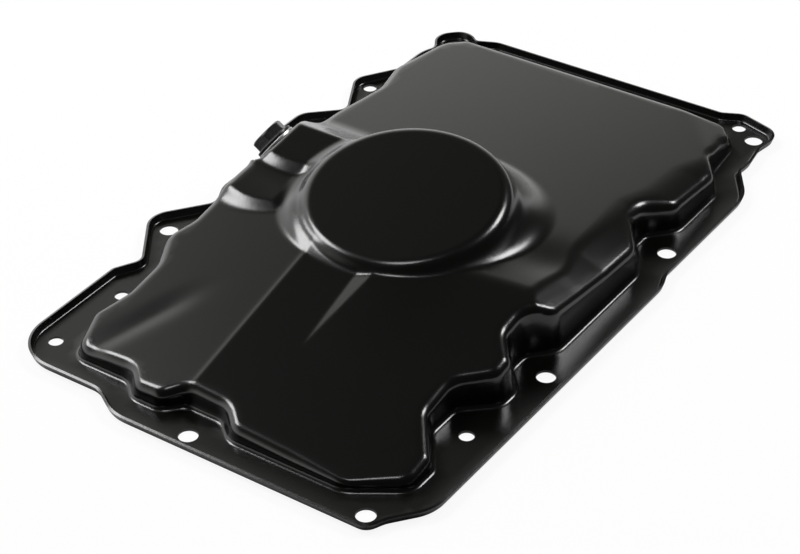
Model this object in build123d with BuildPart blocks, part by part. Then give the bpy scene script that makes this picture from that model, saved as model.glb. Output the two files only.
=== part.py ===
from build123d import *
import os
from math import atan, cos, hypot, radians, sin, tan

os.makedirs("parts", exist_ok=True)

# Sheet steel and press radii, millimetres and degrees
sheet = 1.2
draft = 5.0
crown_radius = 5.0
foot_radius = 2.5
crest_radius = 24.0

# Rim of the flange: a lip turned up and flared outwards
lip_height = 4.8
lip_flare = 18.0
lip_bend_radius = 1.3

# Bolt holes in the flange, and the room that a socket needs round each bolt
m8_hole = 9.0
m6_hole = 7.0
m8_room = 15.3
m6_room = 13.5

front_left_bolt = (-93.0, -152.8)
front_mid_bolt = (-1.5, -172.4)
front_right_bolt = (91.5, -172.4)
left_front_bolt = (-90.6, -109.3)
left_mid_bolt = (-106.0, -55.7)
left_drain_bolt = (-103.2, 51.5)
left_rear_bolt = (-100.5, 103.7)
rear_left_bolt = (-87.2, 164.2)
rear_right_small_bolt = (77.7, 174.4)
rear_right_bolt = (89.3, 168.1)
right_rear_bolt = (101.6, 58.7)
right_mid_bolt = (104.3, -53.0)
right_front_bolt = (97.8, -106.7)

m8_bolts = [front_mid_bolt, front_right_bolt, left_mid_bolt, left_drain_bolt, rear_left_bolt,
            rear_right_bolt, right_rear_bolt, right_mid_bolt]
m6_bolts = [front_left_bolt, left_front_bolt, left_rear_bolt, rear_right_small_bolt, right_front_bolt]

# Straight runs of the flange's edge
flange_front = -180.7
flange_front_left = -170.7
flange_right = 114.1
flange_right_rear = 110.6
flange_left_front = -103.6
flange_left = -94.7
flange_drain_left = -103.2
flange_rear = 173.7

# Straight runs of the tray's wall at its foot
tray_front = -166.0
tray_front_left = -157.8
tray_right = 99.2
tray_right_rear = 97.2
tray_rear_right = 165.5
tray_rear_left = 158.5
tray_left = -84.5
boss_foot = -93.0

# Floor of the tray: sloping facets, each a height over one point and its rise along X and Y
front_facet = ((69.2, -161.2), 7.0, -0.057, 0.165)
left_facet = ((-13.8, -157.2), 12.4, 0.06, 0.171)
rear_facet = ((86.2, -30.2), 27.2, -0.015, -0.085)

# Round sump, its flat end nearly parallel to the front facet
dome_centre = (3.2, -12.0)
dome_height = 40.2
dome_radius = 49.3
dome_rise = (-0.03, 0.15)
dome_floor = 10.0
dome_spread = 18.8710544
dome_rim_radius = 6.0
dome_foot_radius = 6.0

# Boss for the drain plug on the sump's left, and the lower step in front of it
boss_drop = 1.2
boss_height = dome_height - boss_drop
boss_rise = (0.0, 0.02)
boss_front = -18.2
boss_front_slope = 45.0
boss_rear = 10.0
boss_rear_slope = 33.0
boss_step_foot = -81.0
boss_step_drop = 5.5
boss_step_height = boss_height - boss_step_drop
boss_step_front = -45.5
boss_step_rear = -6.0
boss_right = -20.0
boss_root = 10.0
boss_edge_radius = 4.0
boss_valley_radius = 4.0
seat_tilt = 37.0
seat_turn = 5.0
seat_drop = 12.0
seat_centre = (-83.0, 2.0, boss_height - seat_drop)

# Recess in the tray's left wall that the drain seat stands in
recess_width = 46.0
recess_flare = 40.0
recess_depth = 30.0
recess_length = 90.0

# Drain plug, its washer and the nut welded inside the boss
thread_diameter = 14.0
plug_flats = 16.0
plug_head = 5.4
plug_turn = 36.0
plug_flange_diameter = 20.6
plug_flange = 1.6
plug_shank = 15.0
plug_chamfer = 1.0
washer_diameter = 21.4
washer_bore = 14.5
washer_thickness = 1.4
seat_hole = 15.5
nut_flats = 19.0
nut_height = 9.0
thread_clearance = 0.05


def outline(corners):
    """A closed outline through the corners, each corner rounded by its own radius."""
    with BuildLine(mode=Mode.PRIVATE) as path:
        FilletPolyline(*[(x, y) for x, y, r in corners], radius=[r for x, y, r in corners], close=True)
    return path.line


flange_corners = [
    (flange_left_front, flange_front_left, 22), (-51.8, flange_front_left, 14),
    (-35.8, flange_front, 22), (97.4, flange_front, 6.5), (101.2, -172.2, 14),
    (flange_right, -156.2, 20), (flange_right, 30.8, 14), (flange_right_rear, 40.8, 12),
    (flange_right_rear, 116.8, 22), (97.8, 135.3, 3), (98.4, 144.8, 12), (96.1, 159.3, 6),
    (98.8, 175.1, 8.5), (75.7, 181.6, 6), (65.7, 176.8, 6), (-66.8, flange_rear, 10),
    (-78.3, 168.6, 4), (-86.8, 175.3, 7.5), (-98.3, 163.8, 8), (-91.1, 152.3, 6),
    (flange_left, 144.8, 20), (flange_left, 123.8, 6), (-108.4, 103.1, 8), (-93.8, 75.8, 7),
    (-111.5, 59.3, 9), (-111.5, 44.3, 9), (flange_drain_left, 30.8, 9), (flange_drain_left, -15.2, 14),
    (-97.1, -28.2, 8), (-117.5, -54.7, 11), (-96.4, -85.7, 7), (flange_left_front, -98.7, 3),
]

tray_corners = [
    (-76.8, tray_front_left, 9), (-45.8, tray_front_left, 10),
    (-36.8, tray_front, 9), (-21.8, tray_front, 9),
    (front_mid_bolt[0] - 12.5, front_mid_bolt[1] + m8_room, 8),
    (front_mid_bolt[0] + 7.5, front_mid_bolt[1] + m8_room, 10),
    (16.2, tray_front, 10), (75.2, tray_front, 16), (tray_right, -150.2, 10), (tray_right, -134.2, 8),
    (right_front_bolt[0] - m6_room, right_front_bolt[1] - 7.0, 8),
    (right_front_bolt[0] - m6_room, right_front_bolt[1] + 11.5, 8),
    (tray_right, -81.7, 9), (tray_right, -70.7, 9),
    (right_mid_bolt[0] - m8_room, right_mid_bolt[1] - 5.0, 8),
    (right_mid_bolt[0] - m8_room, right_mid_bolt[1] + 7.0, 8),
    (tray_right, -35.2, 11), (tray_right, 35.8, 14),
    (right_rear_bolt[0] - m8_room, right_rear_bolt[1] - 4.4, 8),
    (right_rear_bolt[0] - m8_room, right_rear_bolt[1] + 5.6, 7),
    (tray_right_rear, 76.3, 11), (tray_right_rear, 113.8, 10), (86.2, 129.3, 14), (83.7, 155.0, 10),
    (74.2, tray_rear_right, 9), (-76.0, tray_rear_left, 9),
    (tray_left, 148.0, 12), (tray_left - 3.5, 106.0, 20), (tray_left + 2.5, 84.0, 20),
    (tray_left + 0.5, 48.0, 20), (tray_left + 1.0, 28.0, 12), (boss_foot, 15.0, 9),
    (boss_foot + 1.0, -9.0, 9), (tray_left + 1.5, -21.0, 12), (tray_left + 2.0, -66.0, 14),
    (tray_left - 3.0, -80.0, 14), (-78.8, -98.0, 14), (-78.8, -118.0, 14), (-84.5, -136.0, 10),
]


def facet(point, height, rise_x, rise_y, inset):
    """The plane of one floor facet, lowered by the sheet where it bounds the inner skin."""
    drop = inset * hypot(1.0, hypot(rise_x, rise_y))
    return Plane(origin=(point[0], point[1], height - drop), z_dir=(-rise_x, -rise_y, 1))


def shared_edges(faces, times):
    """Edges that the given number of the faces share."""
    found = []
    for face in faces:
        for edge in face.edges():
            middle = edge.position_at(0.5)
            twins = [f for f in faces if any((e.position_at(0.5) - middle).length < 0.001 for e in f.edges())]
            if len(twins) == times and not any((e.position_at(0.5) - middle).length < 0.001 for e in found):
                found.append(edge)
    return found


def tray_prism(inset):
    """The tray's wall run up above the floor, leaning in by the draft."""
    with BuildPart() as prism:
        with BuildSketch():
            make_face(outline(tray_corners))
            if inset:
                offset(amount=-inset / cos(radians(draft)))
        extrude(amount=50, taper=draft)
    return prism.part


def seat_plane():
    """The outer face of the drain seat, its X along the wall and its Y up the slope."""
    tilt = radians(seat_tilt)
    turn = radians(seat_turn)
    normal = (-cos(tilt) * cos(turn), -cos(tilt) * sin(turn), sin(tilt))
    return Plane(origin=seat_centre, x_dir=(sin(turn), -cos(turn), 0), z_dir=normal)


def seat_recess(inset):
    """The space in front of the drain seat that the tray's wall leaves free."""
    with BuildPart() as recess:
        with BuildSketch(seat_plane().offset(-inset)):
            Rectangle(recess_width, recess_length)
        extrude(amount=recess_depth, taper=-recess_flare)
    return recess.part


def tray_block(inset):
    """The tray up to its sloping floor facets, crests and crown rounded, less the recess."""
    with BuildPart() as tray:
        add(tray_prism(inset))
        for point, height, rise_x, rise_y in (front_facet, left_facet, rear_facet):
            split(bisect_by=facet(point, height, rise_x, rise_y, inset), keep=Keep.BOTTOM)
        crests = shared_edges([f for f in tray.faces() if f.normal_at().Z > 0.9], 2)
        fillet(crests, crest_radius - inset)
        crown = shared_edges([f for f in tray.faces() if f.normal_at().Z > 0.85], 1)
        fillet(crown, crown_radius - inset)
        add(seat_recess(inset), mode=Mode.SUBTRACT)
    return tray.part


def boss_block(front, rear, height, seat, inset):
    """One plateau of the drain boss, bounded by sloping planes and run into the sump."""
    slope = radians(boss_front_slope)
    fall = radians(boss_rear_slope)
    bounds = [
        ((0, 0, height), (-boss_rise[0], -boss_rise[1], 1)),
        ((0, front, height + boss_rise[1] * front), (0, -sin(slope), cos(slope))),
        ((0, rear, height + boss_rise[1] * rear), (0, sin(fall), cos(fall))),
    ]
    if seat:
        bounds.append((seat_centre, seat_plane().z_dir))
    else:
        bounds.append(((boss_step_foot, 0, 0), (-cos(radians(draft)), 0, sin(radians(draft)))))
    with BuildPart() as block:
        with Locations((boss_right, 0, boss_root)):
            Box(120, 160, 60, align=(Align.MAX, Align.CENTER, Align.MIN))
        for point, normal in bounds:
            split(bisect_by=Plane(origin=point, z_dir=normal).offset(-inset), keep=Keep.BOTTOM)
        edges = [e for e in block.edges() if e.position_at(0.5).X < boss_right - 1]
        fillet([e for e in edges if e.position_at(0.5).Z > boss_root + 1],
               boss_edge_radius - inset)
    return block.part


def sump_dome(inset):
    """The round sump, down to below the tray's floor."""
    end = Plane(origin=(dome_centre[0], dome_centre[1], dome_height), z_dir=(-dome_rise[0], -dome_rise[1], 1))
    slope = atan(dome_spread / (dome_height - dome_floor))
    end_radius = dome_radius + inset * tan(slope) - inset / cos(slope)
    with BuildPart() as dome:
        with Locations(end.offset(-inset)):
            Cone(end_radius + (dome_height - inset) * tan(slope), end_radius, dome_height - inset,
                 align=(Align.CENTER, Align.CENTER, Align.MAX))
        split(bisect_by=Plane.XY.offset(3.0), keep=Keep.TOP)
        fillet(dome.faces().sort_by(Axis.Z)[-1].edges(), dome_rim_radius - inset)
    return dome.part


def pressed_skin(inset):
    """The whole pressed form as a solid: its outer skin, or with an inset its inner skin."""
    tray = tray_block(inset)
    dome = sump_dome(inset)
    plateau = boss_block(boss_front, boss_rear, boss_height, True, inset)
    step = boss_block(boss_step_front, boss_step_rear, boss_step_height, False, inset)
    with BuildPart() as boss:
        add(plateau)
        add(step)
        fillet(new_edges(plateau, step, combined=boss.part), boss_valley_radius + inset)
        add(tray_prism(inset), mode=Mode.INTERSECT)
    with BuildPart() as skin:
        add(tray)
        add(dome)
        fillet(new_edges(tray, dome, combined=skin.part), dome_foot_radius + inset)
        add(boss.part)
    return skin.part


def flange_cup(inset, floor):
    """The space inside the flange's flared lip, from a level up."""
    with BuildPart() as cup:
        with BuildSketch():
            make_face(outline(flange_corners))
            if inset:
                offset(amount=-inset / cos(radians(lip_flare)))
        extrude(amount=lip_height + inset, taper=-lip_flare)
        if floor:
            split(bisect_by=Plane.XY.offset(floor), keep=Keep.TOP)
        fillet(cup.faces().sort_by(Axis.Z)[0].edges(), lip_bend_radius + sheet - inset)
    return cup.part


outer_skin = pressed_skin(0)
inner_skin = pressed_skin(sheet)

with BuildPart() as hollow:
    add(inner_skin)
    Box(400, 500, 5, align=(Align.CENTER, Align.CENTER, Align.MAX))
    mouth = hollow.edges().filter_by_position(Axis.Z, -0.01, 0.01)
    fillet([e for e in mouth if abs(e.position_at(0.5).X) < 190 and abs(e.position_at(0.5).Y) < 240],
           foot_radius + sheet)

with BuildPart() as flange:
    add(flange_cup(0, 0))
    add(flange_cup(sheet, sheet), mode=Mode.SUBTRACT)

with BuildPart() as pan_shell:
    add(flange.part)
    add(outer_skin)
    fillet(new_edges(flange.part, outer_skin, combined=pan_shell.part), foot_radius)
    add(hollow.part, mode=Mode.SUBTRACT)
    with Locations(*m8_bolts):
        Cylinder(m8_hole / 2, 8, mode=Mode.SUBTRACT)
    with Locations(*m6_bolts):
        Cylinder(m6_hole / 2, 8, mode=Mode.SUBTRACT)
    with Locations(seat_plane()):
        Cylinder(seat_hole / 2, 8, mode=Mode.SUBTRACT)
pan_shell.part.label = "pan_shell"
export_step(pan_shell.part, "parts/pan_shell.step")

with BuildPart() as weld_nut:
    with BuildSketch(seat_plane().offset(-sheet)):
        RegularPolygon(nut_flats / 2, 6, major_radius=False)
        Circle(thread_diameter / 2 + thread_clearance, mode=Mode.SUBTRACT)
    extrude(amount=-nut_height)
weld_nut.part.label = "weld_nut"
export_step(weld_nut.part, "parts/weld_nut.step")

with BuildPart() as drain_washer:
    with BuildSketch(seat_plane()):
        Circle(washer_diameter / 2)
        Circle(washer_bore / 2, mode=Mode.SUBTRACT)
    extrude(amount=washer_thickness)
drain_washer.part.label = "drain_washer"
export_step(drain_washer.part, "parts/drain_washer.step")

with BuildPart() as drain_plug:
    with BuildSketch(seat_plane().offset(washer_thickness)):
        Circle(plug_flange_diameter / 2)
    extrude(amount=plug_flange)
    with BuildSketch(seat_plane().offset(washer_thickness + plug_flange)):
        RegularPolygon(plug_flats / 2, 6, major_radius=False, rotation=plug_turn)
    extrude(amount=plug_head)
    with BuildSketch(seat_plane().offset(washer_thickness)):
        Circle(thread_diameter / 2)
    extrude(amount=-plug_shank)
    chamfer(drain_plug.faces().sort_by(Axis(seat_plane().origin, seat_plane().z_dir))[0].edges(), plug_chamfer)
drain_plug.part.label = "drain_plug"
export_step(drain_plug.part, "parts/drain_plug.step")
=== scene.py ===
import bmesh
import bpy
import numpy as np
from mathutils import Matrix, Vector, geometry


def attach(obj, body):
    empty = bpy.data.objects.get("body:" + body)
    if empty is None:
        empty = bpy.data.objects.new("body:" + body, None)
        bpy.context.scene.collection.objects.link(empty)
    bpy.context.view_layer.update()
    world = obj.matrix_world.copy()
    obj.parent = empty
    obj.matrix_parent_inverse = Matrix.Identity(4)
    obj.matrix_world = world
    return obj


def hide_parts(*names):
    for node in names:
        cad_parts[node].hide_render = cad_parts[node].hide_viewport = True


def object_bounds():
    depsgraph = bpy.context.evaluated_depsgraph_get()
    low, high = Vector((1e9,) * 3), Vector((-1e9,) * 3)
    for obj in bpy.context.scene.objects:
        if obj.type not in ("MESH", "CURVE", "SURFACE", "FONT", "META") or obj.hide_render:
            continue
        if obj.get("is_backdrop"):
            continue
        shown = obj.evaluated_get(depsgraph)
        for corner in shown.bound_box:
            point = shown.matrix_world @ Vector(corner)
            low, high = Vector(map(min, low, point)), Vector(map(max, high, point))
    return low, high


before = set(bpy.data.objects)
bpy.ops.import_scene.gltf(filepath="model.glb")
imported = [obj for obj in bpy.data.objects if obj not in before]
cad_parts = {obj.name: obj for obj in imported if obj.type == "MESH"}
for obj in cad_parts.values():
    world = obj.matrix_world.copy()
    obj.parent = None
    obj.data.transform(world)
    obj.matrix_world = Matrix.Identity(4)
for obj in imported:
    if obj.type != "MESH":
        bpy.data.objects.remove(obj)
cad_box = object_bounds()
scene = bpy.context.scene


# Camera

# The pan lies gasket face down, seen from above its front right corner through a long lens,
# so its far edge looks nearly as large as its near one.

azimuth, elevation, roll = np.radians(35.07), np.radians(35.63), np.radians(-0.90)
distance = 1.1637
aim = np.array((0.00715, -0.0252, 0.0))
back = np.array((np.sin(azimuth) * np.cos(elevation), -np.cos(azimuth) * np.cos(elevation),
                 np.sin(elevation)))
across = np.array((np.cos(azimuth), np.sin(azimuth), 0.0))
upward = np.cross(back, across)
turned_axes = np.stack((np.cos(roll) * across + np.sin(roll) * upward,
                        np.cos(roll) * upward - np.sin(roll) * across, back), axis=1)

camera_data = bpy.data.cameras.new("studio_camera")
camera_data.sensor_width = 36.0
camera_data.lens = 112.5
camera_data.clip_start = 0.05
camera = bpy.data.objects.new("studio_camera", camera_data)
scene.collection.objects.link(camera)
camera.matrix_world = (Matrix.Translation(Vector(aim + back * distance))
                       @ Matrix(turned_axes.tolist()).to_4x4())
scene.camera = camera
scene.view_settings.view_transform = "Standard"


# Studio

# A white table under a sky that is bright low on the left and dark overhead and on the right.
# The black enamel shows itself only by what it mirrors: the sky gives each facet its grey, and
# three softboxes draw its crowns and feet.

table_half, table_glow = 4.0, 0.9
# The sky's ramp as places and levels, its ends first
sky_bright, sky_dark = (0.20, 1.9), (0.90, 0.05)
sky_steps = ((0.35, 1.35), (0.43, 0.85), (0.46, 0.60), (0.50, 0.27), (0.56, 0.10), (0.64, 0.06))
sky_side = 0.6
softboxes = (("box_left", (-1.05, -0.15, 1.25), (0.60, 0.45), 14.0),
             ("box_right", (0.60, 1.00, 1.15), (0.50, 0.45), 14.0),
             ("box_top", (-0.05, -0.30, 1.60), (0.35, 0.35), 4.0))

table_mesh = bpy.data.meshes.new("table")
table_mesh.from_pydata([(-table_half, -table_half, 0), (table_half, -table_half, 0),
                        (table_half, table_half, 0), (-table_half, table_half, 0)], [],
                       [(0, 1, 2, 3)])
table = bpy.data.objects.new("table", table_mesh)
scene.collection.objects.link(table)
table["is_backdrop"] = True

table_paint = bpy.data.materials.new("table_white")
table_paint.use_nodes = True
nodes, links = table_paint.node_tree.nodes, table_paint.node_tree.links
paint = nodes["Principled BSDF"]
paint.inputs["Base Color"].default_value = (0.80, 0.80, 0.80, 1)
paint.inputs["Roughness"].default_value = 0.9
path = nodes.new("ShaderNodeLightPath")
glow = nodes.new("ShaderNodeEmission")
glow.inputs["Color"].default_value = (1, 1, 1, 1)
glow.inputs["Strength"].default_value = 1.0
share = nodes.new("ShaderNodeMath")
share.operation = "MULTIPLY"
share.inputs[1].default_value = table_glow
blend = nodes.new("ShaderNodeMixShader")
links.new(path.outputs["Is Camera Ray"], share.inputs[0])
links.new(share.outputs[0], blend.inputs["Fac"])
links.new(paint.outputs["BSDF"], blend.inputs[1])
links.new(glow.outputs["Emission"], blend.inputs[2])
links.new(blend.outputs["Shader"], nodes["Material Output"].inputs["Surface"])
table_mesh.materials.append(table_paint)

world = bpy.data.worlds.new("studio")
world.use_nodes = True
scene.world = world
nodes, links = world.node_tree.nodes, world.node_tree.links
sky = nodes["Background"]
# Place on the sky's ramp: half the height plus a share of x, so that it darkens rightwards
where = nodes.new("ShaderNodeTexCoord")
split = nodes.new("ShaderNodeSeparateXYZ")
lift = nodes.new("ShaderNodeMath")
lift.operation = "MULTIPLY_ADD"
lift.inputs[1].default_value, lift.inputs[2].default_value = 0.5, 0.5
sideways = nodes.new("ShaderNodeMath")
sideways.operation = "MULTIPLY_ADD"
sideways.inputs[1].default_value = sky_side
ramp = nodes.new("ShaderNodeValToRGB")
ramp.color_ramp.interpolation = "LINEAR"
stops = ramp.color_ramp.elements
for stop, (position, level) in zip(stops, (sky_bright, sky_dark)):
    stop.position, stop.color = position, (level, level, level, 1)
for position, level in sky_steps:
    middle = stops.new(position)
    middle.color = (level, 1.01 * level, 0.96 * level, 1)
links.new(where.outputs["Generated"], split.inputs["Vector"])
links.new(split.outputs["Z"], lift.inputs[0])
links.new(split.outputs["X"], sideways.inputs[0])
links.new(lift.outputs[0], sideways.inputs[2])
links.new(sideways.outputs[0], ramp.inputs["Fac"])
links.new(ramp.outputs["Color"], sky.inputs["Color"])
sky.inputs["Strength"].default_value = 1.0

for name, spot, size, power in softboxes:
    lamp_data = bpy.data.lights.new(name, "AREA")
    lamp_data.shape = "RECTANGLE"
    lamp_data.size, lamp_data.size_y = size
    lamp_data.energy = power
    lamp = bpy.data.objects.new(name, lamp_data)
    scene.collection.objects.link(lamp)
    lamp.location = spot
    lamp.rotation_euler = (-Vector(spot)).to_track_quat("-Z", "Y").to_euler()


# Pressed pan

# One steel sheet, drawn deep in a press: flange with a turned-up lip, tray with sloping floor
# facets, round sump and the boss for the drain plug. Black enamel covers it inside and out.

# Lengths are in millimetres, outline corners are x, y and radius
mm = 0.001
sheet = 1.2
lip_height, lip_flare, lip_bend = 4.8, np.radians(18.0), 1.3
draft = np.radians(5.0)
foot_radius = 2.5
flange_corners = (
    (-103.6, -170.7, 22), (-51.8, -170.7, 14), (-35.8, -180.7, 22), (97.4, -180.7, 6.5),
    (101.2, -172.2, 14), (114.1, -156.2, 20), (114.1, 30.8, 14), (110.6, 40.8, 12),
    (110.6, 116.8, 22), (97.8, 135.3, 3), (98.4, 144.8, 12), (96.1, 159.3, 6), (98.8, 175.1, 8.5),
    (75.7, 181.6, 6), (65.7, 176.8, 6), (-66.8, 173.7, 10), (-78.3, 168.6, 4), (-86.8, 175.3, 7.5),
    (-98.3, 163.8, 8), (-91.1, 152.3, 6), (-94.7, 144.8, 20), (-94.7, 123.8, 6), (-108.4, 103.1, 8),
    (-93.8, 75.8, 7), (-111.5, 59.3, 9), (-111.5, 44.3, 9), (-103.2, 30.8, 9), (-103.2, -15.2, 14),
    (-97.1, -28.2, 8), (-117.5, -54.7, 11), (-96.4, -85.7, 7), (-103.6, -98.7, 3))
tray_corners = (
    (-76.8, -157.8, 9), (-45.8, -157.8, 10), (-36.8, -166, 9), (-21.8, -166, 9), (-14, -157.1, 8),
    (6, -157.1, 10), (16.2, -166, 10), (75.2, -166, 16), (99.2, -150.2, 10), (99.2, -134.2, 8),
    (84.3, -113.7, 8), (84.3, -95.2, 8), (99.2, -81.7, 9), (99.2, -70.7, 9), (89, -58, 8),
    (89, -46, 8), (99.2, -35.2, 11), (99.2, 35.8, 14), (86.3, 54.3, 8), (86.3, 64.3, 7),
    (97.2, 76.3, 11), (97.2, 113.8, 10), (86.2, 129.3, 14), (83.7, 155, 10), (74.2, 165.5, 9),
    (-76, 158.5, 9), (-84.5, 148, 12), (-88, 106, 20), (-82, 84, 20), (-84, 48, 20),
    (-83.5, 28, 12), (-93, 15, 9), (-92, -9, 9), (-83, -21, 12), (-82.5, -66, 14),
    (-87.5, -80, 14), (-78.8, -98, 14), (-78.8, -118, 14), (-84.5, -136, 10))
m8_holes = ((-1.5, -172.4), (91.5, -172.4), (-106, -55.7), (-103.2, 51.5), (-87.2, 164.2),
            (89.3, 168.1), (101.6, 58.7), (104.3, -53))
m6_holes = ((-93, -152.8), (-90.6, -109.3), (-100.5, 103.7), (77.7, 174.4), (97.8, -106.7))
m8_radius, m6_radius = 4.5, 3.5
seat_place = np.array((-83.0, 2.0, 27.0))
seat_tilt, seat_turn = np.radians(37.0), np.radians(5.0)
seat_out = np.array((-np.cos(seat_tilt) * np.cos(seat_turn), -np.cos(seat_tilt) * np.sin(seat_turn),
                     np.sin(seat_tilt)))
seat_hole, seat_half, seat_flare = 15.5, 23.0, 1.98

# Facets of the tray: a point, the height there, and the rise along x and along y
front_facet = ((69.2, -161.2), 7.0, -0.057, 0.165)
left_facet = ((-13.8, -157.2), 12.0, 0.052, 0.171)
rear_facet = ((86.2, -30.2), 27.2, -0.015, -0.085)
crest_rise, crest_reach = 0.6, 0.235
crease_rise, crease_tip, crease_length = 1.6, (15.0, -113), 45
crease_lead, crease_narrow, crease_widen = 4.5, 0.4, 7
crease_fade = ((18, 30), (-62, 14))
groove_middle, groove_across = (-50, -112), (0.914, -0.406)
groove_depth, groove_width, groove_fade = 0.8, 5.5, 5
dimple_middle, dimple_size, dimple_depth = (80, -6), (20, 15), 1.3
shoulder_x = 97
shoulder_y = (-60, -36, -16, 9, 40, 78, 105, 143)
shoulder_level = (29.0, 22.0, 19.6, 17.2, 16.4, 15.4, 13.2, 12.4)
shoulder_fall = ((-10, 60), (0.45, 0.2))
fold_middle, fold_across, fold_slope = (66, 146), (0.756, 0.655), 0.22
crest_blend, rear_blend, shoulder_blend, fold_blend = 0.12, 1.0, 1.3, 1.2

sump_middle, sump_axis = np.array((3.0, -14.3, 39.2)), np.array((0.03, -0.15, 1.0))
sump_edge, sump_rim, sump_side = 47.7, 6.5, np.radians(62.0)
sump_rounds, sump_stride = 14, 0.7
foot_blend, rim_blend, foot_reach = 7.5, 1.5, (44.5, 10.0)
front_flare, front_flare_way = 13.0, (-0.75, -0.66)
back_flare, back_flare_way = 10.0, (0.87, 0.49)

# Boss and the lower step before it: the top as a facet, then for each falling face the height
# at one y, or at one x for the step's right face
boss_top, step_top = ((-60, -5), 38.2, -0.05, 0.15), ((-60, -30), 32.2, -0.04, 0.12)
boss_front, boss_back = (36.8, -18.2), (39.6, 8.0)
step_front, step_back, step_right = (31.4, -45.5), (33.0, -6.0), (32.0, -51.0)
back_fall, right_fall = 0.65, 1.1
front_bow, bow_middle = 0.012, -66
boss_right_end, below = -15, -60
boss_front_round, step_front_round, back_round, right_round = 2.2, 2.0, 1.2, 3.0
boss_blend, step_blend, seat_blend = 5.0, 3.5, 2.5


def rounded_outline(corners, count):
    """A closed outline of straight runs, each corner an arc tangent to both runs at radius over
    tan(half the corner's angle), as points evenly spaced along it with their outward normals."""
    table = np.array(corners, float)
    corner, radius = table[:, :2], table[:, 2]
    before = np.roll(corner, 1, 0) - corner
    after = np.roll(corner, -1, 0) - corner
    before /= np.linalg.norm(before, axis=1, keepdims=True)
    after /= np.linalg.norm(after, axis=1, keepdims=True)
    half = np.arccos(np.clip((before * after).sum(1), -1, 1)) / 2
    middle = before + after
    middle /= np.linalg.norm(middle, axis=1, keepdims=True)
    centre = corner + middle * (radius / np.sin(half))[:, None]
    first = corner + before * (radius / np.tan(half))[:, None] - centre
    last = corner + after * (radius / np.tan(half))[:, None] - centre
    turn = np.sign(first[:, 0] * last[:, 1] - first[:, 1] * last[:, 0]) * (np.pi - 2 * half)
    angle = np.arctan2(first[:, 1], first[:, 0])[:, None] + turn[:, None] * np.linspace(0, 1, 25)
    arcs = centre[:, None] + radius[:, None, None] * np.stack((np.cos(angle), np.sin(angle)), -1)
    line = arcs.reshape(-1, 2)
    line = np.vstack((line, line[:1]))
    run = np.r_[0, np.cumsum(np.linalg.norm(np.diff(line, axis=0), axis=1))]
    even = np.linspace(0, run[-1], count, endpoint=False)
    point = np.stack([np.interp(even, run, line[:, axis]) for axis in (0, 1)], -1)
    along = np.roll(point, -1, 0) - np.roll(point, 1, 0)
    along /= np.linalg.norm(along, axis=1, keepdims=True)
    return point, np.stack((along[:, 1], -along[:, 0]), -1)


def lower(a, b, blend):
    """The lower of two heights, its crest rounded: where they differ by less than blend, it is
    the lower one less the square of the shortfall over four times blend."""
    return np.minimum(a, b) - np.maximum(blend - np.abs(a - b), 0) ** 2 / (4 * blend)


def higher(a, b, blend):
    """The higher of two heights, its valley rounded in the same way."""
    return -lower(-a, -b, blend)


def facet(x, y, point, height, rise_x, rise_y):
    """A sloping plane: its height over one point plus its rise along x and y."""
    return height + rise_x * (x - point[0]) + rise_y * (y - point[1])


def tray_height(x, y):
    """The lowest of three sloping facets with rounded crests. The front one is raised behind a
    crease that fades out forwards, the left one has a bead along its crest and a pressed groove,
    and the rear one has a dimple, falls to a shoulder on the right and is folded at its corner."""
    front = facet(x, y, *front_facet)
    fade = np.clip((y - crease_tip[1]) / crease_length, 0, 1)
    climb = (x - crease_tip[0] + crease_lead * fade) / (crease_narrow + crease_widen * fade)
    climb = np.clip(climb, 0, 1)
    (right_end, right_fade), (rear_end, rear_fade) = crease_fade
    spread = np.exp(-(np.maximum(x - right_end, 0) / right_fade) ** 2
                    - (np.maximum(y - rear_end, 0) / rear_fade) ** 2)
    front = front + crease_rise * fade * climb * spread

    left = facet(x, y, *left_facet)
    from_x, from_y = x - groove_middle[0], y - groove_middle[1]
    groove = groove_across[0] * from_x + groove_across[1] * from_y
    along = groove_across[1] * from_x - groove_across[0] * from_y
    left = left - (groove_depth * np.exp(-(groove / groove_width) ** 2)
                   / (1 + np.exp(-along / groove_fade)))

    rear = facet(x, y, *rear_facet)
    rear = rear - dimple_depth * np.exp(-((x - dimple_middle[0]) / dimple_size[0]) ** 2
                                        - ((y - dimple_middle[1]) / dimple_size[1]) ** 2)
    level = np.interp(y, shoulder_y, shoulder_level)
    fall = np.interp(y, *shoulder_fall)
    rear = lower(rear, level - fall * (x - shoulder_x), shoulder_blend)
    corner = fold_across[0] * (x - fold_middle[0]) + fold_across[1] * (y - fold_middle[1])
    rear = lower(rear, rear - fold_slope * corner, fold_blend)

    left = left + crest_rise * np.exp(-((front - left) / crest_reach) ** 2)
    return lower(lower(front, left, crest_blend), rear, rear_blend)


def sump_height(x, y):
    """The round sump as a body turned about its tilted axis: flat end, a rim arc, then a straight
    side; the height over a point is found by stepping it until the turned profile holds it."""
    axis = sump_axis / np.linalg.norm(sump_axis)
    inner = sump_edge - sump_rim * np.tan(sump_side / 2)
    arc = sump_rim * np.sin(sump_side)
    z = np.full(np.shape(x), sump_middle[2])
    for step in range(sump_rounds):
        dx, dy, dz = x - sump_middle[0], y - sump_middle[1], z - sump_middle[2]
        rise = dx * axis[0] + dy * axis[1] + dz * axis[2]
        radius = np.sqrt(np.maximum(dx * dx + dy * dy + dz * dz - rise * rise, 0))
        over = np.clip(radius - inner, 0, arc)
        drop = sump_rim - np.sqrt(sump_rim * sump_rim - over * over)
        drop += np.tan(sump_side) * np.maximum(radius - inner - arc, 0)
        z = np.maximum(z + sump_stride * (-drop - rise) / axis[2], below)
    return z


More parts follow.
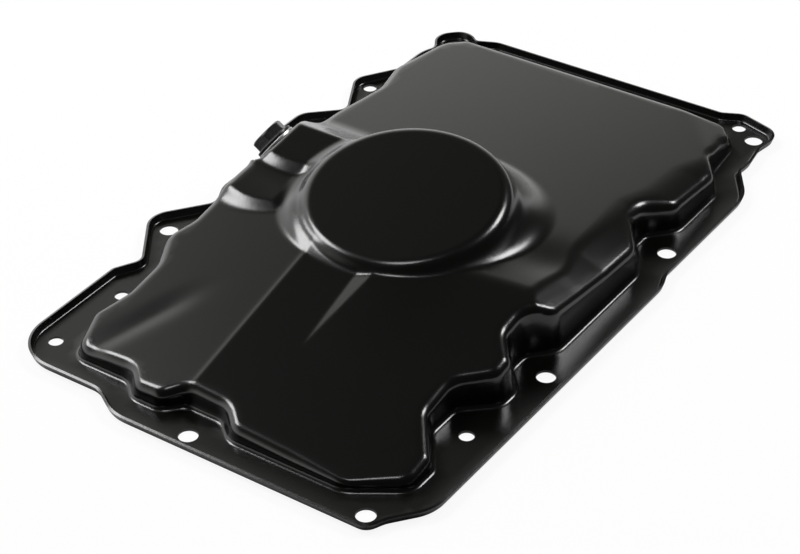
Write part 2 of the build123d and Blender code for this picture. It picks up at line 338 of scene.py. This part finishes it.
def boss_height(x, y):
    """The boss and the lower step before it: each a plane, bounded by falling faces with rounded
    crests; the front faces bow forwards with the square of the distance from the boss's middle."""
    bow = front_bow * (x - bow_middle) ** 2
    boss = lower(facet(x, y, *boss_top), boss_front[0] + (y - boss_front[1] - bow),
                 boss_front_round)
    boss = lower(boss, boss_back[0] - (y - boss_back[1]) * back_fall, back_round)
    step = lower(facet(x, y, *step_top), step_front[0] + (y - step_front[1] - bow),
                 step_front_round)
    step = lower(step, step_back[0] - (y - step_back[1]) * back_fall, back_round)
    step = lower(step, step_right[0] - (x - step_right[1]) * right_fall, right_round)
    return np.where(x < boss_right_end, higher(boss, step, step_blend), below)


def seat_hollow(x, y):
    """The plane of the drain seat, and a steep flare on each side of it."""
    dx, dy = x - seat_place[0], y - seat_place[1]
    seat = seat_place[2] - (seat_out[0] * dx + seat_out[1] * dy) / seat_out[2]
    aside = np.abs(dx * np.sin(seat_turn) - dy * np.cos(seat_turn))
    return seat + np.maximum(aside - seat_half, 0) * seat_flare


def floor_height(x, y):
    """Height of the pressed floor: the highest of the tray, the boss and the sump with rounded
    valleys, and no higher than the seat's hollow. The sump's foot is rounded wider towards two
    sides, by the fifth power of the cosine of the angle from each."""
    dx, dy = x - sump_middle[0], y - sump_middle[1]
    reach = np.hypot(dx, dy) + 0.001
    toward_front = np.clip((front_flare_way[0] * dx + front_flare_way[1] * dy) / reach, 0, 1) ** 5
    toward_back = np.clip((back_flare_way[0] * dx + back_flare_way[1] * dy) / reach, 0, 1) ** 5
    beyond = np.clip((reach - foot_reach[0]) / foot_reach[1], 0, 1)
    flare = foot_blend + front_flare * toward_front + back_flare * toward_back
    flare = rim_blend + flare * beyond * beyond * (3 - 2 * beyond)
    beside_sump = higher(tray_height(x, y), boss_height(x, y), boss_blend)
    return lower(higher(beside_sump, sump_height(x, y), flare), seat_hollow(x, y), seat_blend)


def inside(points, loop):
    """Whether each point lies inside a closed loop: an odd number of its edges cross the ray
    that runs from the point towards +x."""
    x0, y0 = loop[:, 0], loop[:, 1]
    x1, y1 = np.roll(x0, -1), np.roll(y0, -1)
    parts = []
    for part in np.array_split(points, max(1, len(points) // 4000)):
        x, y = part[:, :1], part[:, 1:2]
        with np.errstate(divide="ignore", invalid="ignore"):
            crossing = (x1 - x0) * (y - y0) / (y1 - y0) + x0
            hit = ((y0 > y) != (y1 > y)) & (x < crossing)
        parts.append(hit.sum(1) % 2 == 1)
    return np.concatenate(parts)


def clear_of(points, loop, gap):
    """Whether each point keeps a gap from every point of a loop."""
    parts = [((part[:, :1] - loop[:, 0]) ** 2 + (part[:, 1:2] - loop[:, 1]) ** 2).min(1)
             for part in np.array_split(points, max(1, len(points) // 4000))]
    return np.concatenate(parts) > gap * gap


def filled(points, loops, outer, inner):
    """Triangles over scattered points, kept where their middles lie inside one loop and outside
    the others; each loop is a range of point numbers joined in a ring."""
    rings = [np.stack((np.arange(a, b), np.roll(np.arange(a, b), -1)), -1) for a, b in loops]
    out = geometry.delaunay_2d_cdt([Vector(p) for p in points.tolist()],
                                   np.vstack(rings).tolist(), [], 0, 1e-7)
    assert len(out[0]) == len(points), "the loops cross"
    faces = np.array(out[2], int)
    a, b, c = points[faces[:, 0]], points[faces[:, 1]], points[faces[:, 2]]
    middle = (a + b + c) / 3
    keep = inside(middle, outer)
    for loop in inner:
        keep &= ~inside(middle, loop)
    ab, ac = b - a, c - a
    clockwise = ab[:, 0] * ac[:, 1] - ab[:, 1] * ac[:, 0] < 0
    faces[clockwise] = faces[clockwise][:, ::-1]
    return faces[keep]


def ring_faces(rings, count, start):
    """Four-sided faces between neighbouring closed rings of the same number of points."""
    here = np.arange(count)
    ahead = (here + 1) % count
    first = start + np.arange(rings - 1)[:, None] * count
    corners = (first + here, first + ahead, first + count + ahead, first + count + here)
    return np.stack(corners, -1).reshape(-1, 4)


# Wall of the tray: foot arc, straight draft, crown arc that ends tangent to the floor
around, wall_top = 860, 3.6
probe = 0.4
crown_base, crown_rear, crown_notch = 5.0, 2.8, 2.0
rear_start, rear_run = 140, 12
notch_middle, notch_size = (90, 62), (14, 10)
wall_line, wall_out = rounded_outline(tray_corners, around)


def floor_at(depth):
    """Height of the floor at a depth inside the wall's foot line, all the way round."""
    place = wall_line - wall_out * depth[:, None]
    return floor_height(place[:, 0], place[:, 1])


def floor_slope(depth):
    """Slope of the floor inwards at a depth inside the wall's foot line, all the way round."""
    return (floor_at(depth + probe) - floor_at(depth - probe)) / (2 * probe)


# The crown is rounder along the rear wall and at the right notch
far = np.clip((wall_line[:, 1] - rear_start) / rear_run, 0, 1)
beside = np.exp(-((wall_line[:, 0] - notch_middle[0]) / notch_size[0]) ** 2
                - ((wall_line[:, 1] - notch_middle[1]) / notch_size[1]) ** 2)
crown_radius = crown_base + crown_rear * far + crown_notch * beside
depth = np.full(around, 5.5)
for step in range(5):
    lean = np.arctan(floor_slope(depth))
    reach = crown_radius * np.tan((np.pi / 2 - draft - lean) / 2)
    corner_height = floor_at(depth) - reach * np.sin(lean)
    reach = np.minimum(reach, np.maximum(corner_height - wall_top, 0.6))
    depth = corner_height * np.tan(draft) + reach * np.cos(lean)
smooth = np.hanning(9) / np.hanning(9).sum()
depth = np.convolve(np.r_[depth[-4:], depth, depth[:4]], smooth, "valid")
slope = floor_slope(depth)
lean = np.arctan(slope)
# The height where the floor's tangent meets the wall's line
meet = (floor_at(depth) - slope * depth) / (1 - slope * np.tan(draft))
reach = (depth - meet * np.tan(draft)) / np.cos(lean)
crown = reach / np.tan((np.pi / 2 - draft - lean) / 2)
low_height = meet - reach * np.cos(draft)
low_depth = meet * np.tan(draft) - reach * np.sin(draft)
arc_depth = low_depth + crown * np.cos(draft)
arc_height = low_height - crown * np.sin(draft)

foot = np.linspace(0, np.pi / 2 - draft, 6)
foot_start = sheet * np.tan(draft) - foot_radius * np.tan(foot[-1] / 2)
foot_depth = foot_start + foot_radius * np.sin(foot)
foot_height = sheet + foot_radius * (1 - np.cos(foot))
rise = np.linspace(0, 1, 5)[1:]
wall_depth = foot_depth[-1] + rise[:, None] * (low_depth - foot_depth[-1])
wall_height = foot_height[-1] + rise[:, None] * (low_height - foot_height[-1])
share = np.linspace(0, 1, 8)[1:, None]
tangent = (np.pi / 2 - draft) + share * (lean - (np.pi / 2 - draft))
crown_depth = arc_depth - crown * np.sin(tangent)
crown_height = arc_height + crown * np.cos(tangent)
foot_rows = np.repeat(np.stack((foot_depth, foot_height))[..., None], around, 2)
profile_depth = np.vstack((foot_rows[0], wall_depth, crown_depth))
profile_height = np.vstack((foot_rows[1], wall_height, crown_height))
wall_plan = wall_line[None] - wall_out[None] * profile_depth[..., None]
wall_points = np.concatenate((wall_plan, profile_height[..., None]), -1)

# Lip of the flange: flared wall, then the bend down to the flange
edge_count = 960
edge_line, edge_out = rounded_outline(flange_corners, edge_count)
bend = np.linspace(np.pi / 2 - lip_flare, 0, 6)
bend_start = (-sheet / np.cos(lip_flare) + sheet * np.tan(lip_flare)
              - lip_bend * np.tan((np.pi / 2 - lip_flare) / 2))
bend_out = bend_start + lip_bend * np.sin(bend)
bend_height = sheet + lip_bend * (1 - np.cos(bend))
lip_run = (lip_height - bend_height[0]) * np.tan(lip_flare)
lip_out = np.r_[bend_out[0] + lip_run * np.array((1, 0.5)), bend_out]
lip_rise = np.r_[lip_height, (lip_height + bend_height[0]) / 2, bend_height]
lip_plan = edge_line[None] + edge_out[None] * lip_out[:, None, None]
lip_levels = np.repeat(lip_rise[:, None], edge_count, 1)
lip_points = np.concatenate((lip_plan, lip_levels[..., None]), -1)

# Flat of the flange between the lip and the wall's foot, with the bolt holes left out
hole_count = 48
hole_angle = np.linspace(0, 2 * np.pi, hole_count, endpoint=False)
unit_hole = np.stack((np.cos(hole_angle), np.sin(hole_angle)), -1)
hole_loops = [np.array(centre) + unit_hole * radius
              for centres, radius in ((m8_holes, m8_radius), (m6_holes, m6_radius))
              for centre in centres]
grid = np.meshgrid(np.arange(-118, 118, 5.0), np.arange(-183, 184, 5.0))
grid = np.stack(grid, -1).reshape(-1, 2)
flange_rim, foot_rim = lip_points[-1, :, :2], wall_points[0, :, :2]
free = inside(grid, flange_rim) & ~inside(grid, foot_rim)
free &= clear_of(grid, flange_rim, 2.0) & clear_of(grid, foot_rim, 2.0)
for loop in hole_loops:
    free &= ~inside(grid, loop) & clear_of(grid, loop, 1.5)
flange_plan = np.vstack([flange_rim, foot_rim] + hole_loops + [grid[free]])
marks = np.cumsum([0, edge_count, around] + [hole_count] * len(hole_loops))
flange_faces = filled(flange_plan, list(zip(marks[:-1], marks[1:])), flange_rim,
                      [foot_rim] + hole_loops)
flange_points = np.column_stack((flange_plan, np.full(len(flange_plan), sheet)))

# Floor: points close together where it bends and far apart where it is flat
cell = 0.9
gx, gy = np.meshgrid(np.arange(-100, 104, cell), np.arange(-170, 170, cell))
relief = floor_height(gx, gy)
dy, dx = np.gradient(relief, cell)
dyy, dyx = np.gradient(dy, cell)
dxy, dxx = np.gradient(dx, cell)
bent = np.abs(dxx) + np.abs(dyy) + np.abs(dxy)
for way in (0, 1):
    bent = np.maximum(bent, np.maximum(np.roll(bent, 1, way), np.roll(bent, -1, way)))
row, column = np.indices(gx.shape)
every_second = (row % 2 == 0) & (column % 2 == 0)
every_fourth = (row % 4 == 0) & (column % 4 == 0)
dense = (bent > 0.03) | ((bent > 0.004) & every_second) | every_fourth
floor_rim = wall_points[-1, :, :2]
scatter = np.column_stack((gx[dense], gy[dense]))
scatter = scatter[inside(scatter, floor_rim)]
scatter = scatter[clear_of(scatter, floor_rim, 0.8)]
seat_across = np.array((np.sin(seat_turn), -np.cos(seat_turn), 0.0))
seat_up = np.cross(seat_out, seat_across)
seat_round = unit_hole[:, :1] * seat_across + unit_hole[:, 1:] * seat_up
seat_loop = (seat_place + seat_round * seat_hole / 2)[:, :2]
scatter = scatter[~inside(scatter, seat_loop)]
scatter = scatter[clear_of(scatter, seat_loop, 0.6)]
floor_plan = np.vstack((floor_rim, seat_loop, scatter))
floor_faces = filled(floor_plan, [(0, around), (around, around + hole_count)], floor_rim,
                     [seat_loop])
floor_points = np.column_stack((floor_plan, floor_height(floor_plan[:, 0], floor_plan[:, 1])))

# All of it welded into one skin, then given the sheet's thickness inwards
sheets = (lip_points.reshape(-1, 3), flange_points, wall_points.reshape(-1, 3), floor_points)
first = np.cumsum([0] + [len(points) for points in sheets])
faces = ring_faces(len(lip_points), edge_count, first[0]).tolist()
faces += (flange_faces + first[1]).tolist()
faces += ring_faces(len(wall_points), around, first[2]).tolist()
faces += (floor_faces + first[3]).tolist()
skin = bpy.data.meshes.new("pan_skin")
skin.from_pydata((np.vstack(sheets) * mm).tolist(), [], faces)
pressed = bmesh.new()
pressed.from_mesh(skin)
bmesh.ops.remove_doubles(pressed, verts=pressed.verts, dist=0.00002)
pressed.to_mesh(skin)
pressed.free()
skin.shade_smooth()
pan = bpy.data.objects.new("pan_pressing", skin)
scene.collection.objects.link(pan)
thickness = pan.modifiers.new("sheet", "SOLIDIFY")
thickness.thickness, thickness.offset = sheet * mm, -1.0
solved = pan.evaluated_get(bpy.context.evaluated_depsgraph_get())
pressing = bpy.data.meshes.new_from_object(solved)
pan.modifiers.clear()
pan.data = pressing
pressing.set_sharp_from_angle(angle=np.radians(50))

enamel = bpy.data.materials.new("black_enamel")
enamel.use_nodes = True
nodes, links = enamel.node_tree.nodes, enamel.node_tree.links
coat = nodes["Principled BSDF"]
coat.inputs["Base Color"].default_value = (0.0016, 0.0017, 0.0013, 1)
coat.inputs["Roughness"].default_value = 0.21
coat.inputs["IOR"].default_value = 1.5
grain_place = nodes.new("ShaderNodeTexCoord")
peel = nodes.new("ShaderNodeTexNoise")
peel.inputs["Scale"].default_value = 900.0
peel.inputs["Detail"].default_value = 3.0
links.new(grain_place.outputs["Object"], peel.inputs["Vector"])
orange_peel = nodes.new("ShaderNodeBump")
orange_peel.inputs["Strength"].default_value = 0.12
orange_peel.inputs["Distance"].default_value = 0.0002
links.new(peel.outputs["Fac"], orange_peel.inputs["Height"])
links.new(orange_peel.outputs["Normal"], coat.inputs["Normal"])
pressing.materials.clear()
pressing.materials.append(enamel)
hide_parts("pan_shell")
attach(pan, "pan")


# Drain plug

# A forged steel hexagon on a round flange, chamfered at its end, with an M14 x 1.5 thread cut
# below. It screws through the washer and the pan's seat into the weld nut.

plug_flats, plug_turn = 16.0, np.radians(36.0)
head_top, head_corner, head_slope = 8.4, 7.45, 1.9
thread_radius, thread_pitch, thread_depth = 7.0, 1.5, 0.8
thread_start, thread_end, thread_run_in = 1.2, -13.6, 1.2
plug_round = 144


def turned(radius, rise):
    """Rings about the seat's axis with their faces: each row of radii, one for every angle, lies
    at its own row of heights along the axis. A row of no radius closes an end."""
    count = radius.shape[1]
    angle = np.linspace(0, 2 * np.pi, count, endpoint=False)
    away = np.cos(angle)[:, None] * seat_across + np.sin(angle)[:, None] * seat_up
    points = seat_place + radius[..., None] * away + rise[..., None] * seat_out
    return points.reshape(-1, 3) * mm, ring_faces(len(radius), count, 0)


def flats(angle, width, first):
    """Distance from a hexagon's middle to its side: half the width over the cosine of the angle
    from the nearest flat's middle."""
    return width / 2 / np.cos(np.mod(angle - first, np.pi / 3) - np.pi / 6)


def body(name, points, faces):
    """An object from rows of points; its doubles merged and its faces turned outwards."""
    mesh = bpy.data.meshes.new(name)
    mesh.from_pydata(points.tolist(), [], faces.tolist())
    form = bmesh.new()
    form.from_mesh(mesh)
    bmesh.ops.remove_doubles(form, verts=form.verts, dist=0.000002)
    bmesh.ops.recalc_face_normals(form, faces=form.faces)
    form.to_mesh(mesh)
    form.free()
    mesh.shade_smooth()
    mesh.set_sharp_from_angle(angle=np.radians(38))
    made = bpy.data.objects.new(name, mesh)
    scene.collection.objects.link(made)
    return made


def rows_of(values, count):
    """Each value as a row of its own, repeated once for every angle."""
    return np.repeat(np.asarray(values, float)[:, None], count, 1)


# Head: two rows close its end, its chamfer cuts the hexagon's corners, and a fillet joins the disc
angle = np.linspace(0, 2 * np.pi, plug_round, endpoint=False)
head = np.array((8.40, 8.28, 8.1, 7.9, 7.7, 7.5, 7.3, 7.1, 6.5, 5.5, 4.5, 3.7, 3.25, 3.06, 3.0))
head_limit = head_corner + (head_top - head) * head_slope
head_radius = np.minimum(flats(angle, plug_flats, plug_turn)[None], head_limit[:, None])
head_radius[-3:] += np.array((0.08, 0.22, 0.45))[:, None]
disc = np.array(((9.9, 3.0), (10.15, 2.93), (10.3, 2.75), (10.3, 1.6), (10.2, 1.42), (7.4, 1.4)))
# Thread: its depth follows the distance from the crest, which climbs one pitch a turn
turns = np.linspace(thread_start, thread_end + 1.0, 85)
phase = turns[:, None] / thread_pitch + angle[None] / (2 * np.pi)
wave = np.abs(np.mod(phase, 1.0) - 0.5) * 2
thread = thread_radius - thread_depth * np.clip(wave * 1.25 - 0.12, 0, 1)
run_in = np.clip(1 - (thread_start - turns) / thread_run_in, 0, 1)
thread = np.minimum(thread, (thread_radius - thread_depth * run_in)[:, None])
tip = np.array(((6.1, thread_end + 0.5), (5.6, thread_end), (0.0, thread_end)))
radii = np.vstack((rows_of((0.0, 7.0), plug_round), head_radius, rows_of(disc[:, 0], plug_round),
                   thread, rows_of(tip[:, 0], plug_round)))
heights = np.r_[head_top, head_top, head, disc[:, 1], turns, tip[:, 1]]
plug = body("plug_screw", *turned(radii, rows_of(heights, plug_round)))

grain_group = bpy.data.node_groups.new("fine_grain", "ShaderNodeTree")
for label, kind, way in (("Scale", "NodeSocketFloat", "INPUT"),
                         ("Depth", "NodeSocketFloat", "INPUT"),
                         ("Value", "NodeSocketFloat", "OUTPUT"),
                         ("Normal", "NodeSocketVector", "OUTPUT")):
    grain_group.interface.new_socket(name=label, in_out=way, socket_type=kind)
nodes, links = grain_group.nodes, grain_group.links
given, result = nodes.new("NodeGroupInput"), nodes.new("NodeGroupOutput")
grain_place = nodes.new("ShaderNodeTexCoord")
speck = nodes.new("ShaderNodeTexNoise")
speck.inputs["Detail"].default_value = 4.0
speck_bump = nodes.new("ShaderNodeBump")
speck_bump.inputs["Strength"].default_value = 1.0
links.new(grain_place.outputs["Object"], speck.inputs["Vector"])
links.new(given.outputs["Scale"], speck.inputs["Scale"])
links.new(given.outputs["Depth"], speck_bump.inputs["Distance"])
links.new(speck.outputs["Fac"], speck_bump.inputs["Height"])
links.new(speck.outputs["Fac"], result.inputs["Value"])
links.new(speck_bump.outputs["Normal"], result.inputs["Normal"])


def grained_metal(name, metallic, scale, tones, dullness):
    """A metal whose colour, roughness and relief all follow the same fine grain: two tones, each
    with its place on the grain, and the least and greatest roughness."""
    made = bpy.data.materials.new(name)
    made.use_nodes = True
    nodes, links = made.node_tree.nodes, made.node_tree.links
    metal = nodes["Principled BSDF"]
    metal.inputs["Metallic"].default_value = metallic
    grain = nodes.new("ShaderNodeGroup")
    grain.node_tree = grain_group
    grain.inputs["Scale"].default_value = scale
    grain.inputs["Depth"].default_value = 0.00002
    tone = nodes.new("ShaderNodeValToRGB")
    for stop, (position, colour) in zip(tone.color_ramp.elements, tones):
        stop.position, stop.color = position, (*colour, 1)
    dull = nodes.new("ShaderNodeMapRange")
    dull.inputs["To Min"].default_value, dull.inputs["To Max"].default_value = dullness
    links.new(grain.outputs["Value"], tone.inputs["Fac"])
    links.new(grain.outputs["Value"], dull.inputs["Value"])
    links.new(tone.outputs["Color"], metal.inputs["Base Color"])
    links.new(dull.outputs["Result"], metal.inputs["Roughness"])
    links.new(grain.outputs["Normal"], metal.inputs["Normal"])
    return made


steel = grained_metal("plug_steel", 0.85, 1400.0,
                      ((0.35, (0.030, 0.030, 0.032)), (0.70, (0.065, 0.064, 0.062))), (0.28, 0.42))
plug.data.materials.append(steel)
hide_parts("drain_plug")
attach(plug, "plug")


# Sealing washer

# A flat soft-metal ring punched from sheet, squeezed between the plug's disc and the seat. Its
# edges are rounded by the punch and it keeps its bright metal colour.

ring_out, ring_in, ring_thickness, ease = 10.7, 7.25, 1.4, 0.2
washer_round = 96
ring = np.array(((ring_in, ease), (ring_in, ring_thickness - ease),
                 (ring_in + ease, ring_thickness), (ring_out - ease, ring_thickness),
                 (ring_out, ring_thickness - ease), (ring_out, ease),
                 (ring_out - ease, 0.0), (ring_in + ease, 0.0), (ring_in, ease)))
washer = body("seal_washer", *turned(rows_of(ring[:, 0], washer_round),
                                     rows_of(ring[:, 1], washer_round)))
bright = grained_metal("washer_metal", 1.0, 900.0,
                       ((0.3, (0.36, 0.36, 0.35)), (0.7, (0.55, 0.55, 0.54))), (0.30, 0.45))
washer.data.materials.append(bright)
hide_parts("drain_washer")
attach(washer, "washer")


# Weld nut

# A plain hexagon nut welded to the inside of the seat before the pan was coated, so the same
# black enamel covers it. Both its faces are chamfered and its bore is countersunk.

nut_flats, nut_top, nut_end = 19.0, -1.2, -10.2
nut_corner, nut_slope = 9.0, 1.8
level = np.array((-1.2, -1.35, -1.6, -1.9, -2.3, -5.0, -9.1, -9.5, -9.8, -10.05, -10.2))
nut_limit = nut_corner + np.minimum(nut_top - level, level - nut_end) * nut_slope
nut_side = np.minimum(flats(angle, nut_flats, 0.0)[None], nut_limit[:, None])
bore = np.array(((8.0, -10.2), (7.05, -9.3), (7.05, -2.0), (7.7, -1.2)))
radii = np.vstack((nut_side, rows_of(bore[:, 0], plug_round), nut_side[:1]))
heights = np.r_[level, bore[:, 1], level[:1]]
nut = body("seat_nut", *turned(radii, rows_of(heights, plug_round)))
nut.data.materials.append(enamel)
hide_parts("weld_nut")
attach(nut, "pan")

size = {"cad": [list(map(float, c)) for c in cad_box], "visual": [list(map(float, c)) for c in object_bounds()]}
